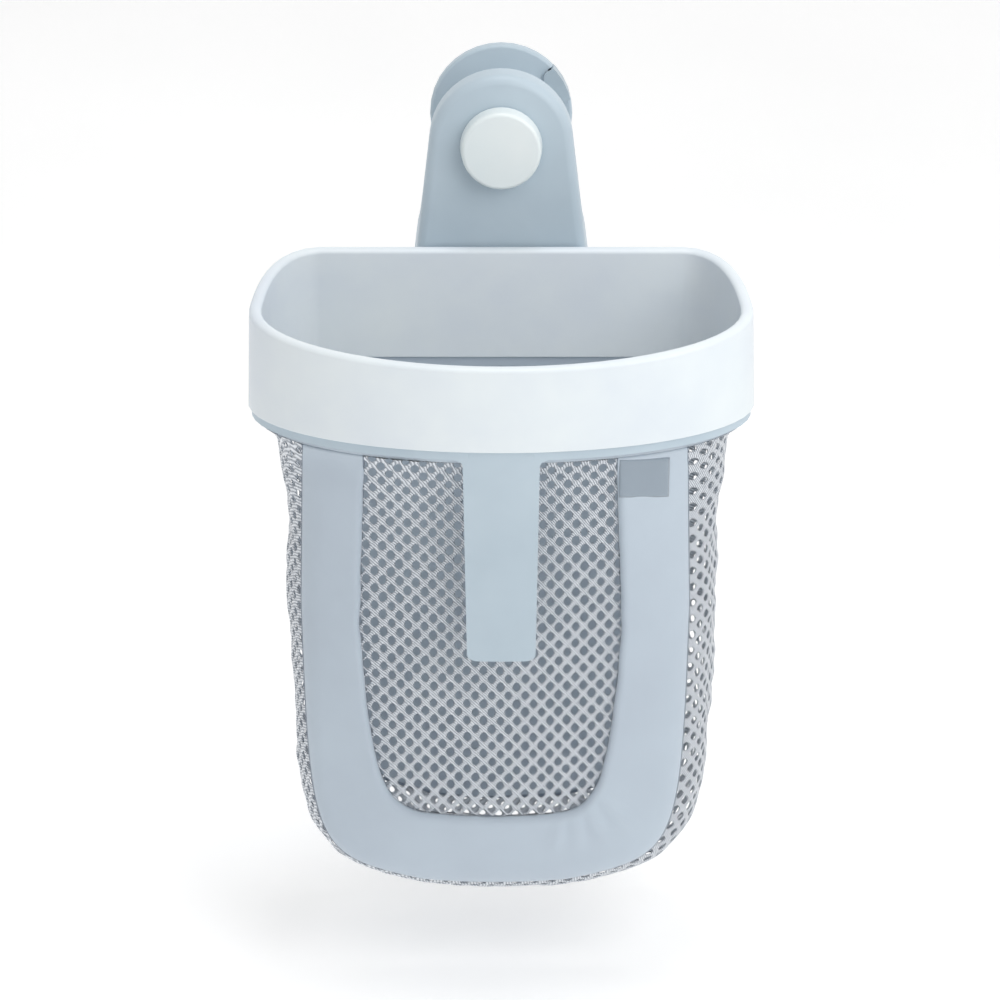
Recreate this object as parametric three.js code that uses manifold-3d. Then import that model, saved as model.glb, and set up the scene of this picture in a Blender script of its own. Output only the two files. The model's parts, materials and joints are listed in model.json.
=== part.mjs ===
import * as THREE from "three";
import { mergeVertices } from "three/addons/utils/BufferGeometryUtils.js";
import Module from "manifold-3d";

const wasm = await Module();
wasm.setup();

// Main sizes in millimetres. X runs to the right, Y into the wall and Z up.
const rimWidth = 230;
const rimDepth = 130;
const rimFrontHeight = 38.5;
const rimBackHeight = 53.5;
const rimDropBelowKnob = 100.5;
const bagDrop = 226;
const frontSeamInset = 28.8;
const borderWidth = 29.8;
const windowDrop = 186;
const stripWidth = 34.2;
const stripLength = 97;
const standOff = 57;
const armTopRadius = 33.2;
const armFootWidth = 90;
const armDrop = 99;
const dishDiameter = 67;
const knobDiameter = 38;
const knobDepth = 9.2;
const hubDiameter = 36;
const threadDiameter = 10.4;
const threadPitch = 3;
const liftHeight = 18;

// Thicknesses, clearances and the shared step counts.
const gap = 0.3;
const overrun = 2;
const plasticWall = 2.6;
const cloth = 0.8;
const roundSteps = 36;
const outlineSteps = 80;
const seamSteps = 40;

const grid = (from, to, steps) =>
  Array.from({ length: steps + 1 }, (_, i) => from + ((to - from) * i) / steps);
const mix = (a, b, share) => a + (b - a) * share;

// Solid helpers.
function facingOut(geometry) {
  const bare = geometry.clone();
  bare.deleteAttribute("normal");
  bare.deleteAttribute("uv");
  const merged = mergeVertices(bare);
  const spots = merged.attributes.position;
  const corner = [0, 1, 2].map(() => new THREE.Vector3());
  const kept = [];
  let volume = 0;
  for (let i = 0; i < merged.index.count; i += 3) {
    const ids = [0, 1, 2].map((k) => merged.index.getX(i + k));
    if (new Set(ids).size === ids.length) {
      ids.forEach((id, k) => corner[k].fromBufferAttribute(spots, id));
      volume += corner[0].dot(corner[1].clone().cross(corner[2]));
      kept.push(ids);
    }
  }
  if (volume < 0) kept.forEach((ids) => ids.reverse());
  merged.setIndex(kept.flat());
  return merged;
}

function toSolid(geometry) {
  const ready = facingOut(geometry);
  return new wasm.Manifold(
    new wasm.Mesh({
      numProp: 3,
      vertProperties: new Float32Array(ready.attributes.position.array),
      triVerts: new Uint32Array(ready.index.array),
    }),
  );
}

function toGeometry(solid) {
  const found = solid.getMesh();
  const geometry = new THREE.BufferGeometry();
  geometry.setAttribute("position", new THREE.Float32BufferAttribute(found.vertProperties, found.numProp));
  geometry.setIndex(new THREE.Uint32BufferAttribute(found.triVerts, 1));
  const faceted = geometry.toNonIndexed();
  faceted.computeVertexNormals();
  return faceted;
}

function fromPoints(points, corners) {
  const geometry = new THREE.BufferGeometry();
  const flat = points.flatMap((p) => p.toArray());
  geometry.setAttribute("position", new THREE.Float32BufferAttribute(flat, 3));
  geometry.setIndex(corners);
  return toSolid(geometry);
}

// A solid swept through loops of points, closed on itself or with an end at each side.
function swept(loops, closed) {
  const count = loops[0].length;
  const corners = [];
  const quad = (a, b, c, d) => corners.push(a, b, c, a, c, d);
  const spans = closed ? loops.length : loops.length - 1;
  for (let i = 0; i < spans; i += 1) {
    const here = i * count;
    const next = ((i + 1) % loops.length) * count;
    for (let j = 0; j < count; j += 1) {
      const k = (j + 1) % count;
      quad(here + j, here + k, next + k, next + j);
    }
  }
  if (!closed) {
    const last = (loops.length - 1) * count;
    for (let j = 0; j < count / 2 - 1; j += 1) {
      const [b, c, d] = [j + 1, count - 2 - j, count - 1 - j];
      quad(j, d, c, b);
      quad(last + j, last + b, last + c, last + d);
    }
  }
  return fromPoints(loops.flat(), corners);
}

// A turned solid about the knob's axis; each point is a radius and a distance from the wall.
function turned(profile, steps = roundSteps) {
  const points = profile.map(([radius, out]) => new THREE.Vector2(radius, -out));
  if (profile[0][0] > 0 || profile.at(-1)[0] > 0) points.push(points[0].clone());
  return toSolid(new THREE.LatheGeometry(points, steps));
}

// A flat outline seen from the front, as thick as the two distances from the wall say.
function plate(shape, from, to, edge = 0) {
  const geometry = new THREE.ExtrudeGeometry(shape, {
    depth: to - from - 2 * edge,
    bevelEnabled: edge > 0,
    bevelThickness: edge,
    bevelSize: edge,
    bevelOffset: -edge,
    bevelSegments: 3,
    curveSegments: 12,
  });
  return toSolid(geometry.translate(0, 0, from + edge).rotateX(Math.PI / 2));
}

// A block centred on the middle plane, between two distances from the wall and two heights.
function block(width, from, to, bottom, top) {
  const geometry = new THREE.BoxGeometry(width, to - from, top - bottom);
  return toSolid(geometry.translate(0, -(from + to) / 2, (bottom + top) / 2));
}

// Suction cup with its release tab, drawn as it sits when it is locked on the wall.
const dishRadius = dishDiameter / 2;
const cupMargin = 2;
const cupRadius = dishRadius - cupMargin;
const cupBossRadius = cupRadius * 0.42;
const cupBossTop = 9.5;
const cupBossRound = 1;
const cupEdge = 1.8;
const footBottom = 2.8;
const footTop = 5.8;
const threadRelief = 0.2;
const studRadius = threadDiameter / 2 - threadRelief;
const footRadius = studRadius * 2;
const cupBody = turned([
  [0, 0],
  [cupRadius - cupEdge / 2, 0],
  [cupRadius, cupEdge / 2],
  [cupRadius - cupEdge / 3, cupEdge],
  [cupRadius * 0.84, cupEdge * 1.45],
  [cupBossRadius + cupBossRound, cupBossTop / 2],
  [cupBossRadius, cupBossTop / 2 + cupBossRound],
  [cupBossRadius, cupBossTop],
  [studRadius + gap, cupBossTop],
  [studRadius + gap, footTop + gap],
  [footRadius + gap, footTop + gap],
  [footRadius + gap, footBottom - gap],
  [0, footBottom - gap],
]);

// The tab leaves the cup's edge, passes through a notch in the dish and folds over its face.
const dishFace = 7.5;
const tabAngle = 28;
const tabWidth = 17;
const tabThick = 1.2;
const tabFront = dishFace + gap + tabThick;
const tabInner = cupRadius * 0.94;
function tabShape(inner, margin, outer) {
  const half = tabWidth / 2 + margin;
  const shape = new THREE.Shape();
  shape.moveTo(inner, -half);
  shape.lineTo(outer, -half);
  shape.lineTo(outer, half);
  shape.lineTo(inner, half);
  return shape;
}
const tabLobe = tabShape(dishRadius * 0.86, 0, dishRadius);
tabLobe.absellipse(dishRadius * 0.86, 0, dishRadius * 0.13, tabWidth / 2, Math.PI / 2, (3 * Math.PI) / 2);
const tabLimit = turned([
  [0, 0],
  [dishRadius, 0],
  [dishRadius, tabFront + overrun],
  [0, tabFront + overrun],
]);
const releaseTab = plate(tabShape(tabInner, 0, dishRadius), gap, gap + tabThick)
  .add(plate(tabShape(dishRadius - 2 * tabThick, 0, dishRadius), gap, tabFront))
  .add(plate(tabLobe, tabFront - tabThick, tabFront))
  .rotate([0, -tabAngle, 0])
  .intersect(tabLimit);
const cup = cupBody.add(releaseTab);

// Pressure dish: it presses the cup's edge on the wall, and its hub carries the arm.
const plateThick = 3.5;
const plateBack = standOff - plateThick;
const hubRadius = hubDiameter / 2;
const hubWall = 3.2;
const hubFillet = 2.5;
const sleeveWall = 2;
const sleeveLength = 11;
const sleeveRadius = threadDiameter / 2 + sleeveWall;
const sleeveBack = standOff - sleeveLength;
const spigotWall = 2;
const spigotRoot = 1;
const spigotWidth = 2 * (sleeveRadius + gap + spigotWall);
const dishBack = 1;
const dishSkin = 1.6;
const dishEdgeRound = 1;
const webGap = 1.5;
const webThick = 4.5;
const webFront = sleeveBack - webGap;
const webBack = webFront - webThick;
const dishBody = turned([
  [dishRadius, dishBack],
  [dishRadius, dishFace - 2 * dishEdgeRound],
  [dishRadius - dishEdgeRound, dishFace - dishEdgeRound],
  [dishRadius * 0.65, dishFace],
  [hubRadius + hubFillet / 3, dishFace + hubFillet],
  [hubRadius, dishFace + 2 * hubFillet],
  [hubRadius, plateBack - gap],
  [sleeveRadius + gap, plateBack - gap],
  [sleeveRadius + gap, webFront],
  [studRadius + gap, webFront],
  [studRadius + gap, webBack],
  [hubRadius - hubWall, webBack - hubWall],
  [hubRadius - hubWall, cupBossTop + dishSkin],
  [cupBossRadius + dishSkin, cupBossTop * 0.8],
  [cupRadius * 0.8, cupEdge * 1.45 + gap],
  [cupRadius * 0.92, cupEdge + 2 * gap],
  [cupRadius + gap, cupEdge + 2 * gap],
  [cupRadius + gap, dishBack],
]);
const spigot = block(spigotWidth, plateBack - spigotRoot, standOff - gap, -spigotWidth / 2, spigotWidth / 2);
const spigotBore = turned([
  [0, plateBack - overrun],
  [sleeveRadius + gap, plateBack - overrun],
  [sleeveRadius + gap, standOff + overrun],
  [0, standOff + overrun],
]);
const tabNotch = plate(tabShape(tabInner - gap, gap, dishRadius + overrun), -overrun, dishFace);
const dish = dishBody.add(spigot.subtract(spigotBore)).subtract(tabNotch.rotate([0, -tabAngle, 0]));

// Screw thread: a ridge that winds round the knob's axis as a right-hand helix.
const threadTip = 0.7;
const threadRoot = 1.6;
const threadDepth = 1.2;
const threadPlay = 0.4;
const threadSink = 0.4;
const coreRadius = threadDiameter / 2 - threadDepth;
const crestRadius = coreRadius + threadPlay;
const boreRadius = threadDiameter / 2 + threadPlay;
const threadSteps = 12;
const nutTurns = 3;
function ridge(inner, innerWidth, outer, outerWidth, start, turns) {
  const loops = grid(0, turns * 2 * Math.PI, Math.round(turns * threadSteps)).map((angle) => {
    const out = start + (threadPitch * angle) / (2 * Math.PI);
    const spot = (radius, along) =>
      new THREE.Vector3(radius * Math.cos(angle), -out - along, radius * Math.sin(angle));
    return [
      spot(inner, -innerWidth / 2),
      spot(outer, -outerWidth / 2),
      spot(outer, outerWidth / 2),
      spot(inner, innerWidth / 2),
    ];
  });
  return swept(loops, false);
}

// Stud: its foot is held in the cup and its thread runs to just below the knob's face.
const knobFaceWall = 1.8;
const studChamfer = 0.6;
const threadLead = 0.5;
const threadEnd = 1.1;
const studTip = standOff + knobDepth - knobFaceWall - threadPlay;
const threadStart = sleeveBack - threadLead;
const studTurns = (studTip - threadEnd - threadStart) / threadPitch;
const stud = turned([
  [0, footBottom],
  [footRadius, footBottom],
  [footRadius, footTop],
  [studRadius, footTop],
  [studRadius, threadStart - webGap],
  [coreRadius, threadStart - webGap],
  [coreRadius, studTip - studChamfer],
  [coreRadius - studChamfer, studTip],
  [0, studTip],
]).add(
  ridge(coreRadius - threadSink, threadRoot, threadDiameter / 2, threadTip, threadStart, studTurns),
);

// Lock knob with a threaded sleeve that reaches back into the hub, and its washer.
const knobRadius = knobDiameter / 2;
const knobBack = standOff + gap;
const knobDraft = 0.6;
const knobChamfer = 0.8;
const faceRound = 1.8;
const washerThick = 1.4;
const recessTop = knobBack + washerThick + gap;
const washerRadius = knobRadius * 0.82;
const knobFace = standOff + knobDepth;
const knobEdge = grid(0, Math.PI / 2, 4).map((angle) => [
  knobRadius - knobDraft - faceRound * (1 - Math.sin(angle)),
  knobFace - faceRound * (1 - Math.cos(angle)),
]);
const nutRidge = ridge(
  crestRadius,
  threadTip,
  boreRadius + threadSink,
  threadTip + threadDepth,
  threadStart + threadPitch / 2,
  nutTurns,
);
const knob = turned([
  [0, knobFace],
  ...knobEdge,
  [knobRadius, knobBack + knobChamfer],
  [knobRadius - knobChamfer, knobBack],
  [washerRadius + gap, knobBack],
  [washerRadius + gap, recessTop],
  [sleeveRadius, recessTop],
  [sleeveRadius, sleeveBack],
  [boreRadius, sleeveBack],
  [boreRadius, knobFace - knobFaceWall],
  [0, knobFace - knobFaceWall],
]).add(nutRidge);
const washer = turned([
  [sleeveRadius + gap, knobBack],
  [washerRadius, knobBack],
  [washerRadius, knobBack + washerThick],
  [sleeveRadius + gap, knobBack + washerThick],
]);

// Hanger arm: a shell with a round top whose sides reach back to the wall at its foot.
const armEdge = 4.5;
const armCorner = 10;
const armDeep = 14;
const footOut = 3;
function armOutline(inset) {
  const radius = armTopRadius - inset;
  const half = armFootWidth / 2 - inset;
  const drop = armDrop - inset;
  const flare = Math.acos(radius / Math.hypot(half, drop)) - Math.atan2(drop, half);
  const corner = armCorner - inset;
  const shape = new THREE.Shape();
  shape.absarc(0, 0, radius, flare, Math.PI - flare);
  shape.lineTo(-half + corner * Math.sin(flare), -drop + corner);
  shape.quadraticCurveTo(-half, -drop, -half + corner, -drop);
  shape.lineTo(half - corner, -drop);
  shape.quadraticCurveTo(half, -drop, half - corner * Math.sin(flare), -drop + corner);
  return { shape, flare };
}
const armSide = new THREE.Shape();
armSide.moveTo(-standOff - overrun, armTopRadius + overrun);
armSide.lineTo(-standOff + armDeep, armTopRadius + overrun);
armSide.lineTo(-standOff + armDeep, -armDrop * 0.2);
armSide.bezierCurveTo(
  -standOff + armDeep,
  -armDrop * 0.5,
  -footOut,
  -armDrop * 0.4,
  -footOut,
  -armDrop * 0.66,
);
armSide.lineTo(-footOut, -armDrop - overrun);
armSide.lineTo(-standOff - overrun, -armDrop - overrun);
const sideCut = toSolid(
  new THREE.ExtrudeGeometry(armSide, { depth: armFootWidth + overrun, bevelEnabled: false, curveSegments: 10 })
    .translate(0, 0, -(armFootWidth + overrun) / 2)
    .rotateX(Math.PI / 2)
    .rotateZ(Math.PI / 2),
);
const tongueWidth = 44;
const tongueThick = 3;
const hookEdge = -armDrop * 0.808;
const bridgeHigh = 4;
const hookDeep = 14.3;
const hookPlay = 1;
const slotPlay = 2;
const pocketWall = 3;
const slotWidth = tongueWidth + 2 * slotPlay;
const slotTop = hookEdge + bridgeHigh + liftHeight + hookPlay;
const pocketBack = plateBack - tongueThick - 2 * slotPlay;
const pocketFloor = hookEdge - hookDeep - hookPlay;
const pocket = block(
  slotWidth + 2 * pocketWall,
  pocketBack - pocketWall,
  plateBack + plateThick / 6,
  pocketFloor - pocketWall,
  hookEdge,
).subtract(block(slotWidth, pocketBack, plateBack, pocketFloor, hookEdge + overrun));
const legWall = 6.6;
const legGap = armFootWidth - 2 * (plasticWall + legWall);
const spigotHole = spigotWidth + 2 * gap;
const arm = plate(armOutline(0).shape, -armEdge - overrun, standOff, armEdge)
  .subtract(plate(armOutline(plasticWall).shape, -armEdge - 2 * overrun, plateBack))
  .intersect(sideCut)
  .subtract(block(legGap, -overrun, standOff - armDeep, -armDrop - overrun, -armDrop * 0.7))
  .subtract(block(slotWidth, plateBack - overrun, standOff + overrun, hookEdge, slotTop))
  .subtract(block(spigotHole, plateBack - overrun, standOff + overrun, -spigotHole / 2, spigotHole / 2))
  .add(pocket);

// Rubber bumpers under the ends of the arm's two sides, flush with their outer faces.
const armFlare = armOutline(0).flare;
const bumperHigh = 16;
const bumperGrip = 2.8;
const bumperOut = 9;
const bumperZ = -armDrop * 0.778;
const bumperX = (armTopRadius - plasticWall / 2) / Math.cos(armFlare) - bumperZ * Math.tan(armFlare);
const post = (wide, out, high) => toSolid(new THREE.BoxGeometry(wide, out, high));
function bumper(side) {
  const leg = post(plasticWall + gap + overrun, bumperOut, bumperHigh + overrun);
  return post(plasticWall + bumperGrip, bumperOut, bumperHigh)
    .translate([(-side * bumperGrip) / 2, -bumperOut / 2, 0])
    .subtract(leg.translate([(side * (overrun - gap)) / 2, -bumperOut / 2 - footOut + gap, 0]));
}

// Scoop: Y is 0 at the rim's back face and Z is 0 at the rim's lower edge.
const rimWall = 7;
const rimDraft = 1.2;
const skin = 1.8;
const innerSkin = 1.4;
const lipRound = 1.9;
const frontReach = rimDepth * 0.492;
const widestY = frontReach - rimDepth;
const backReach = -widestY;
const outline = new THREE.Path();
outline.moveTo(0, 0);
outline.lineTo(-rimWidth * 0.357, 0);
outline.bezierCurveTo(
  -rimWidth * 0.457,
  0,
  -rimWidth * 0.491,
  -backReach * 0.424,
  -rimWidth / 2,
  widestY,
);
outline.absellipse(0, widestY, rimWidth / 2, frontReach, Math.PI, 2 * Math.PI, false);
outline.bezierCurveTo(
  rimWidth * 0.491,
  -backReach * 0.424,
  rimWidth * 0.457,
  0,
  rimWidth * 0.357,
  0,
);
outline.lineTo(0, 0);
const outlineCount = 6 * outlineSteps;
const outlinePoints = outline.getSpacedPoints(outlineCount).slice(0, outlineCount);
const outlineInwards = outlinePoints.map((_, i) => {
  const before = outlinePoints[(i + outlineCount - 1) % outlineCount];
  const after = outlinePoints[(i + 1) % outlineCount];
  const along = after.clone().sub(before).normalize();
  return new THREE.Vector2(-along.y, along.x);
});
const rimPoint = (i, inset) =>
  outlinePoints[i % outlineCount].clone().addScaledVector(outlineInwards[i % outlineCount], inset);

// A band round the whole rim; each section point is an inset, a height and a share of the rise.
function rimBand(section) {
  const loops = grid(0, outlineSteps - 1, outlineSteps - 1).map((step) => {
    const i = Math.round(step) * 6;
    return section.map(([inset, up, share = 0]) => {
      const spot = rimPoint(i, inset);
      const rise = ((rimBackHeight - rimFrontHeight) * (spot.y + rimDepth)) / rimDepth;
      return new THREE.Vector3(spot.x, spot.y, up + rise * share);
    });
  });
  return swept(loops, true);
}
const lipHalf = (rimWall - rimDraft) / 2;
const lip = grid(0, Math.PI, 6).map((angle) => [
  rimDraft + lipHalf * (1 - Math.cos(angle)),
  rimFrontHeight - lipRound * (1 - Math.sin(angle)),
  1,
]);
const rimGap = 1;
const rimBackOut = standOff + rimGap;
const hookZ = hookEdge + rimDropBelowKnob;
const tongue = block(
  tongueWidth,
  -(rimBackOut - plateBack + gap + tongueThick),
  -(rimBackOut - plateBack + gap),
  hookZ - hookDeep,
  hookZ + gap + bridgeHigh,
).add(
  block(
    tongueWidth,
    -(rimBackOut - plateBack + gap + tongueThick),
    skin / 2,
    hookZ + gap,
    hookZ + gap + bridgeHigh,
  ),
);
const rim = rimBand([
  [0, 0],
  ...lip,
  [rimWall, 0],
  [rimWall - innerSkin, 0],
  [rimWall - innerSkin, rimFrontHeight - 2 * lipRound, 1],
  [rimDraft + skin, rimFrontHeight - 2 * lipRound, 1],
  [skin, 0],
]).add(tongue);

// Lower ring in one piece with the grip strip: a band, a rib in the rim's channel and the strip.
const bandInset = 1.5;
const bandThick = 2.7;
const bandHigh = 3.8;
const ribHigh = 10;
const ribWall = 0.5;
const ribThick = 1.2;
const bandBack = bandInset + bandThick;
const bandBottom = -gap - bandHigh;
const frontLine = (x, inset) => {
  const across = x / (rimWidth / 2 - inset);
  return widestY - (frontReach - inset) * Math.sqrt(1 - across * across);
};
function stripPiece(leftAt, rightAt, outer, inner, heights, columns) {
  const loops = heights.map((z) => {
    const xs = grid(leftAt(z), rightAt(z), columns);
    const front = xs.map((x) => new THREE.Vector3(x, frontLine(x, outer), z));
    const back = xs.map((x) => new THREE.Vector3(x, frontLine(x, inner), z)).reverse();
    return [...front, ...back];
  });
  return swept(loops, false);
}
const cornerRound = 3.5;
const stripBottom = bandBottom - stripLength;
const stripTaper = 0.1;
const stripHalf = (z) => {
  const share = (bandBottom - z) / stripLength;
  const fillet = Math.max(cornerRound - (bandBottom - z), 0);
  const corner = Math.max(cornerRound - (z - stripBottom), 0);
  const curve = (part) => cornerRound - Math.sqrt(Math.max(cornerRound ** 2 - part ** 2, 0));
  return (stripWidth / 2) * (1 - stripTaper * share) + curve(fillet) - curve(corner);
};
const arcs = grid(0, Math.PI / 2, 5);
const stripHeights = [
  bandBottom + bandHigh / 2,
  ...arcs.map((angle) => bandBottom - cornerRound * Math.sin(angle)),
  ...arcs.map((angle) => stripBottom + cornerRound * Math.cos(angle)),
];
const stiffener = 2.5;
const stiffenerInset = 1;
const stiffenerTop = bandBottom - 4 * cornerRound;
const stiffenerBottom = stripBottom + 2 * cornerRound;
const edgeHeights = [stiffenerTop, stiffenerBottom];
const stiffeners = [-1, 1].map((side) => {
  const far = (z) => side * (stripHalf(z) - stiffenerInset);
  const near = (z) => side * (stripHalf(z) - stiffenerInset - stiffener);
  const [left, right] = side < 0 ? [far, near] : [near, far];
  return stripPiece(left, right, bandBack - ribWall, bandBack + stiffener, edgeHeights, 1);
});
const ring = rimBand([
  [bandInset, bandBottom],
  [bandInset, -gap],
  [bandBack - ribWall - ribThick, -gap],
  [bandBack - ribWall - ribThick, ribHigh],
  [bandBack - ribWall, ribHigh],
  [bandBack - ribWall, -gap],
  [bandBack, -gap],
  [bandBack, bandBottom],
])
  .add(stripPiece((z) => -stripHalf(z), stripHalf, bandInset, bandBack, stripHeights, 6))
  .add(stiffeners[0])
  .add(stiffeners[1]);

// Bag: the hem sits between the ring's rib and the rim's inner skin.
const hemInset = bandBack + gap;
const hemMid = hemInset + cloth / 2;
const hemBottom = bandBottom - 3 * cloth;
const hemTop = ribHigh - ribWall;
const hem = rimBand([
  [hemInset, hemBottom],
  [hemInset, hemTop],
  [hemInset + cloth, hemTop],
  [hemInset + cloth, hemBottom],
]);

// The bag's front: a shape that follows the rim at the top and flattens towards the bottom.
const bagTop = hemBottom - gap;
const bagBottom = bagTop - bagDrop;
const seamHalf = rimWidth / 2 - frontSeamInset;
const windowHalf = seamHalf - borderWidth;
const seamShift = -rimWidth * 0.0122;
const windowShift = -rimWidth * 0.0213;
const neckDrop = 18;
const seamSetBack = rimDepth * 0.085;
const seamLean = rimDepth * 0.04;
const bottomTuck = bagDrop * 0.16;
const across = seamHalf / (rimWidth / 2 - hemMid);
const flatShare = Math.sqrt(1 - across * across);
const seamTopY = widestY - (frontReach - hemMid) * flatShare;
const bulge = (frontReach - hemMid) * (1 - flatShare);
function bagFront(x, z) {
  const neck = 1 - Math.exp((z - bagTop) / neckDrop);
  const down = (bagTop - z) / bagDrop;
  const tuck = 1 - Math.exp((bagBottom - z) / bottomTuck);
  const share = (across * x) / seamHalf;
  const arch = (Math.sqrt(1 - share * share) - flatShare) / (1 - flatShare);
  const seamY = seamTopY + seamSetBack * neck + seamLean * down;
  return seamY - bulge * arch * (1 - 0.2 * neck) * Math.max(tuck, 0);
}

// A seam in the shape of a U, from its left end round the bottom to its right end.
const firstStepShare = 0.3 / seamSteps;
const seamStopShares = [
  0,
  firstStepShare,
  ...grid(1, seamSteps - 1, seamSteps - 2).map((i) => i / seamSteps),
  1 - firstStepShare,
  1,
];
const lastStop = seamStopShares.length - 1;
function seamLine(half, drop, shift, shares) {
  const path = new THREE.Path();
  const at = (side, [x, z]) => [shift + side * half * x, bagTop - drop * z];
  path.moveTo(...at(-1, [1, 0]));
  path.lineTo(...at(-1, shares[0]));
  path.bezierCurveTo(...at(-1, shares[1]), ...at(-1, shares[2]), ...at(-1, shares[3]));
  path.quadraticCurveTo(...at(-1, shares[4]), ...at(-1, [0, 1]));
  path.quadraticCurveTo(...at(1, shares[4]), ...at(1, shares[3]));
  path.bezierCurveTo(...at(1, shares[2]), ...at(1, shares[1]), ...at(1, shares[0]));
  path.lineTo(...at(1, [1, 0]));
  const points = seamStopShares.map((share) => path.getPointAt(share));
  const outward = points.map((_, i) => {
    const along = points[Math.min(i + 1, lastStop)].clone().sub(points[Math.max(i - 1, 0)]).normalize();
    return i === 0 || i === lastStop
      ? new THREE.Vector2(Math.sign(points[i].x), 0)
      : new THREE.Vector2(along.y, -along.x);
  });
  return (i, offset) => points[i].clone().addScaledVector(outward[i], offset);
}
const frontShares = [[1.027, 0.365], [1, 0.93], [0.995, 0.925], [0.394, 0.991], [0.23, 1]];
const windowShares = [[1.065, 0.473], [0.964, 0.965], [0.858, 0.985], [0.424, 0.995], [0.2, 1]];
const frontSeam = seamLine(seamHalf, bagDrop, seamShift, frontShares);
const windowSeam = seamLine(windowHalf, windowDrop, windowShift, windowShares);
const backSeam = seamLine(seamHalf * 0.965, bagDrop * 0.98, 0, frontShares);

// A cloth panel from rows of flat spots, as thick as the cloth on both sides of the front.
function clothPanel(rows, surface, thick = cloth) {
  const loops = rows.map((row) => {
    const front = row.map((p) => new THREE.Vector3(p.x, surface(p.x, p.y) - thick / 2, p.y));
    const back = row.map((p) => new THREE.Vector3(p.x, surface(p.x, p.y) + thick / 2, p.y)).reverse();
    return [...front, ...back];
  });
  return swept(loops, false);
}

// A net between front and back rows of spots: each cell that isn't small has a diamond opening.
const netOpenShare = 0.8;
const smallCell = 6;
function netPanel(front, back) {
  const wide = front[0].length;
  const sides = [front.flat(), back.flat()];
  const faces = [];
  for (let i = 0; i < front.length - 1; i += 1) {
    for (let j = 0; j < wide - 1; j += 1) {
      const cell = [[0, 0], [0, 1], [1, 1], [1, 0]].map(([down, right]) => (i + down) * wide + j + right);
      const [a, b, c, d] = cell;
      const sideLengths = [b, d].map((id) => sides[0][a].distanceTo(sides[0][id]));
      if (Math.min(...sideLengths) < smallCell) {
        faces.push([a, b, c], [a, c, d]);
      } else {
        const firstTip = sides[0].length;
        sides.forEach((spots) => {
          const ends = cell.map((id) => spots[id]);
          const centre = ends.reduce((sum, end) => sum.add(end), new THREE.Vector3()).divideScalar(ends.length);
          const middles = ends.map((end, k) => end.clone().lerp(ends[(k + 1) % ends.length], 0.5));
          spots.push(...middles.map((middle) => middle.lerp(centre, 1 - netOpenShare)));
        });
        cell.forEach((corner, k) => {
          const after = (k + 1) % cell.length;
          faces.push([corner, cell[after], firstTip + k], [firstTip + k, cell[after], firstTip + after]);
        });
      }
    }
  }
  const half = sides[0].length;
  const edges = new Set(faces.flatMap(([a, b, c]) => [`${a},${b}`, `${b},${c}`, `${c},${a}`]));
  const corners = faces.flatMap(([a, b, c]) => [a, b, c, half + a, half + c, half + b]);
  edges.forEach((edge) => {
    const [a, b] = edge.split(",").map(Number);
    if (!edges.has(`${b},${a}`)) corners.push(b, a, half + a, b, half + a, half + b);
  });
  return fromPoints(sides.flat(), corners);
}

const between = (a, b, columns) => grid(0, 1, columns).map((share) => a.clone().lerp(b, share));
const seamIndex = seamStopShares.map((_, i) => i);
const tapeHalf = 0.8;
const clothEdge = tapeHalf + gap;
const border = clothPanel(
  seamIndex.map((i) => between(frontSeam(i, -clothEdge), windowSeam(i, clothEdge), 4)),
  bagFront,
);
const halfIndex = seamIndex.slice(0, lastStop / 2);
const windowColumns = 8;
const windowRows = (offset) =>
  halfIndex.map((i) =>
    between(windowSeam(i, -clothEdge), windowSeam(lastStop - i, -clothEdge), windowColumns).map(
      (p) => new THREE.Vector3(p.x, bagFront(p.x, p.y) + offset, p.y),
    ),
  );
const meshWindow = netPanel(windowRows(-cloth / 2), windowRows(cloth / 2));
const backY = -hemMid;
const backPanel = clothPanel(
  halfIndex.map((i) => between(backSeam(i, -clothEdge), backSeam(lastStop - i, -clothEdge), 2)),
  () => backY,
);
const windowTape = clothPanel(
  seamIndex.map((i) => between(windowSeam(i, -tapeHalf), windowSeam(i, tapeHalf), 1)),
  bagFront,
  2 * cloth,
);
const frontTape = clothPanel(
  seamIndex.map((i) => between(frontSeam(i, -tapeHalf), frontSeam(i, tapeHalf), 1)),
  bagFront,
  2 * tapeHalf,
);
const backTape = clothPanel(
  seamIndex.map((i) => between(backSeam(i, -tapeHalf), backSeam(i, tapeHalf), 1)),
  () => backY,
  2 * tapeHalf,
);

// The gusset runs from the front seam to the back seam and bulges out between them.
const gussetBulge = rimWidth * 0.045;
const gussetTopShare = 0.55;
const gussetTopReach = bagDrop * 0.17;
const gussetSway = rimWidth * 0.0113;
const gussetNeck = 3;
const gussetColumns = 7;
const gussetEdge = 2 * tapeHalf + gap;
function planBetween(front, back) {
  const side = Math.sign(front.x);
  const nearest = (target) => {
    const far = outlinePoints.map((_, i) => rimPoint(i, hemMid).distanceTo(target));
    return far.indexOf(Math.min(...far));
  };
  let from = nearest(front);
  const to = nearest(back);
  if (side > 0 && from > to) from -= outlineCount;
  const start = rimPoint(from + outlineCount, hemMid);
  const end = rimPoint(to, hemMid);
  return (share) => {
    const spot = rimPoint(Math.round(mix(from, to, share)) + outlineCount, hemMid);
    spot.addScaledVector(front.clone().sub(start), 1 - share);
    return spot.addScaledVector(back.clone().sub(end), share);
  };
}
const topEnds = [0, lastStop].map((i) => {
  const front = frontSeam(i, 0);
  const back = backSeam(i, 0);
  return planBetween(
    new THREE.Vector2(front.x, bagFront(front.x, bagTop) + gussetEdge),
    new THREE.Vector2(back.x, backY - clothEdge),
  );
});
const gussetShares = grid(0, Math.PI, gussetColumns).map((angle) => (1 - Math.cos(angle)) / 2);
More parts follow.
